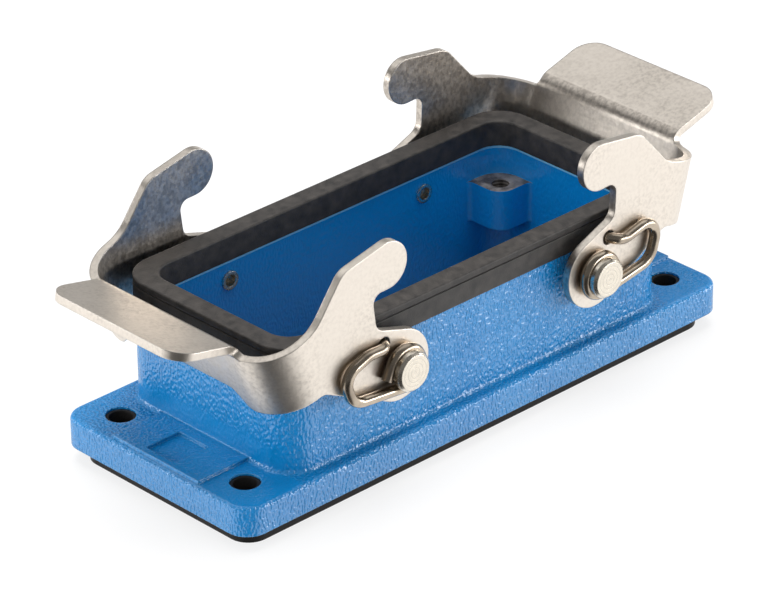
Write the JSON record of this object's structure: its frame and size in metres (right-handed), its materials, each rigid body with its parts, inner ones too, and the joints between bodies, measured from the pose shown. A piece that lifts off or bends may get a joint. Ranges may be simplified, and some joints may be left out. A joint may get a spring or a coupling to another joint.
{
  "type": "rectangular connector panel housing",
  "caption": "Panel-mount metal housing for a heavy duty rectangular connector, with a sealed rim, a through cavity for a contact insert and a hooked locking lever at each end.",
  "frame": {"origin": "centre of the four panel screw holes, on the underside of the flange gasket, which is the face that meets the panel", "axes": "+X along the length of the housing, towards the end with no recess in its label field; +Y across its width; +Z away from the panel, out of the mating side"},
  "size_m": [0.1319, 0.0576, 0.0484],
  "materials": {
    "housing_paint": "fine textured powder coat, bright blue",
    "seal_rubber": "matt black moulded rubber",
    "gasket_rubber": "matt black moulded rubber",
    "pin_steel": "turned steel, bright",
    "lever_steel": "satin stainless sheet",
    "spring_wire": "drawn spring wire, slightly bronze"
  },
  "bodies": {
    "housing_body": {"housing": "housing_paint", "rim_seal": "seal_rubber", "flange_gasket": "gasket_rubber", "pin_left_front": "pin_steel", "pin_left_back": "pin_steel", "pin_right_front": "pin_steel", "pin_right_back": "pin_steel"},
    "left_lever": {"lever_left": "lever_steel", "spring_left_front": "spring_wire", "spring_left_back": "spring_wire"},
    "right_lever": {"lever_right": "lever_steel", "spring_right_front": "spring_wire", "spring_right_back": "spring_wire"}
  },
  "joints": [
    {"name": "left_lever_hinge", "type": "hinge", "parent": "housing_body", "child": "left_lever", "pos_m": [-0.0237, 0, 0.02375], "axis": [0, -1, 0], "range_deg": [-9, 20]},
    {"name": "right_lever_hinge", "type": "hinge", "parent": "housing_body", "child": "right_lever", "pos_m": [0.0237, 0, 0.02375], "axis": [0, 1, 0], "range_deg": [-5, 24]}
  ]
}
